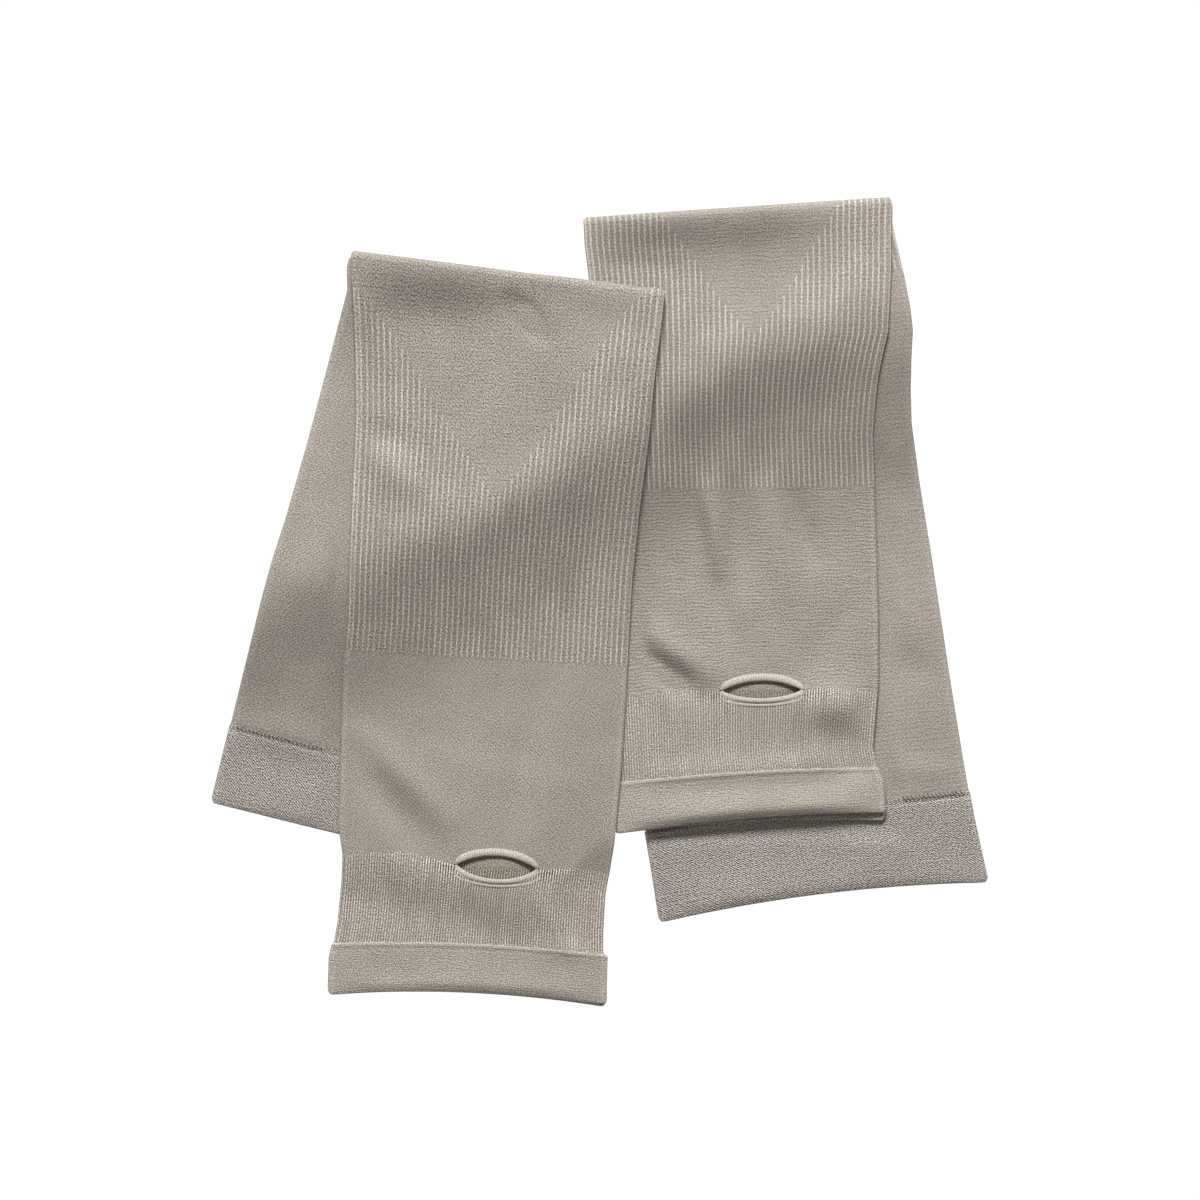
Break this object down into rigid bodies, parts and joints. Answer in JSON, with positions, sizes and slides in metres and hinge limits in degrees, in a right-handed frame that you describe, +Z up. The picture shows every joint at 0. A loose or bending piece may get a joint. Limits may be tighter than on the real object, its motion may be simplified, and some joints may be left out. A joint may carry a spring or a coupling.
{
  "type": "pair of folded knitted arm sleeves",
  "caption": "Pair of seamless knitted arm sleeves with thumb holes, each folded in half and laid flat, one lying over the edge of the other.",
  "frame": {"origin": "on the surface that the pair lies on, under the middle of its bounding box", "axes": "+Z up off the surface, +Y from the hand ends towards the folds, +X to the right seen from above with the folds at the top"},
  "size_m": [0.2703, 0.2808, 0.0126],
  "materials": {
    "wide_rib_knit": "warm grey-beige knit with fine raised ribs, matt",
    "plain_knit": "warm grey-beige plain jersey, matt, slightly brushed",
    "cuff_rib_knit": "warm grey-beige fine one-by-one rib, matt",
    "hem_knit": "warm grey-beige doubled hem knit, matt",
    "band_knit": "warm grey-beige elastic band knit with a fine twill, matt",
    "rolled_edge": "lighter rolled knit edge, matt"
  },
  "bodies": {
    "root": {"left_forearm": "wide_rib_knit", "left_wrist": "plain_knit", "left_palm": "cuff_rib_knit", "left_hem": "hem_knit", "left_thumb_edge": "rolled_edge", "left_upper_arm": "plain_knit", "left_arm_band": "band_knit", "right_forearm": "wide_rib_knit", "right_wrist": "plain_knit", "right_palm": "cuff_rib_knit", "right_hem": "hem_knit", "right_thumb_edge": "rolled_edge", "right_upper_arm": "plain_knit", "right_arm_band": "band_knit"}
  },
  "joints": []
}
